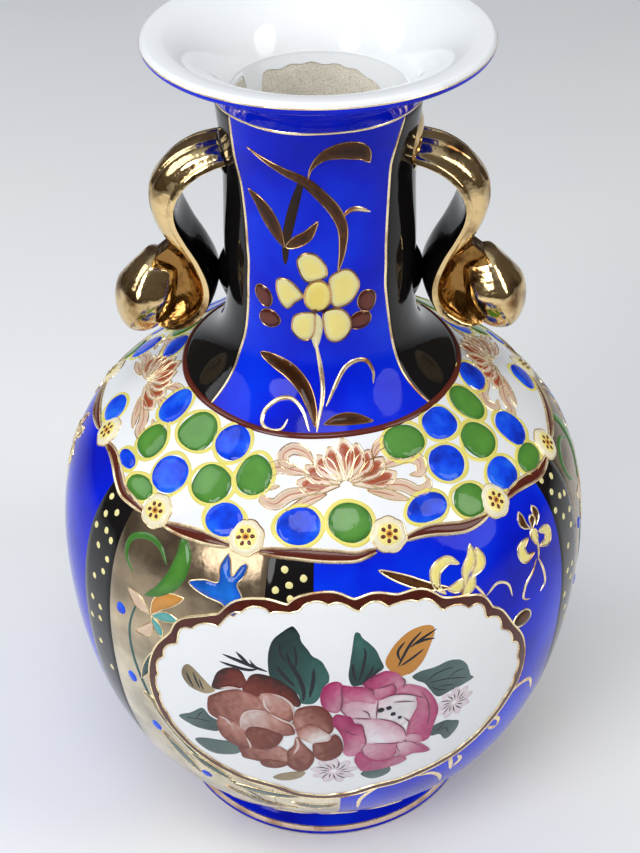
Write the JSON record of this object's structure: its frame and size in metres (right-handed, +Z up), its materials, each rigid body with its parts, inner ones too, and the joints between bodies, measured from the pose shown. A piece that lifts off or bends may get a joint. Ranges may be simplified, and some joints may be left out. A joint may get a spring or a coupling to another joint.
{
  "type": "flower vase",
  "caption": "Round-bellied porcelain flower vase with a straight neck, a wide flared mouth, a low foot ring and gilded scroll handles on the neck.",
  "frame": {"origin": "centre of the foot ring's resting circle, on the surface the vase stands on", "axes": "+Z up along the vase axis; the handles lie along X, and the painted front faces -Y"},
  "size_m": [0.1602, 0.1602, 0.2545],
  "materials": {
    "body_glaze": "high gloss; cobalt, white, black and lustre panels painted over the glaze in enamel and gilt",
    "neck_glaze": "high gloss cobalt front and back, black side bands, painted flower in raised enamel and gilt",
    "foot_glaze": "high gloss cobalt with a gilt band, unglazed resting edge",
    "white_glaze": "high gloss white inside, cobalt underside, worn gilt line on the lip, beige unglazed throat",
    "gold_lustre": "mirror-like gold lustre fired over glazed porcelain"
  },
  "bodies": {
    "root": {"foot_ring": "foot_glaze", "belly": "body_glaze", "neck": "neck_glaze", "mouth_flare": "white_glaze", "handle_strap_left": "gold_lustre", "handle_strap_right": "gold_lustre", "handle_bud_left": "gold_lustre", "handle_bud_right": "gold_lustre", "upper_slip_pad_left": "gold_lustre", "upper_slip_pad_right": "gold_lustre", "lower_slip_pad_left": "gold_lustre", "lower_slip_pad_right": "gold_lustre"}
  },
  "joints": []
}
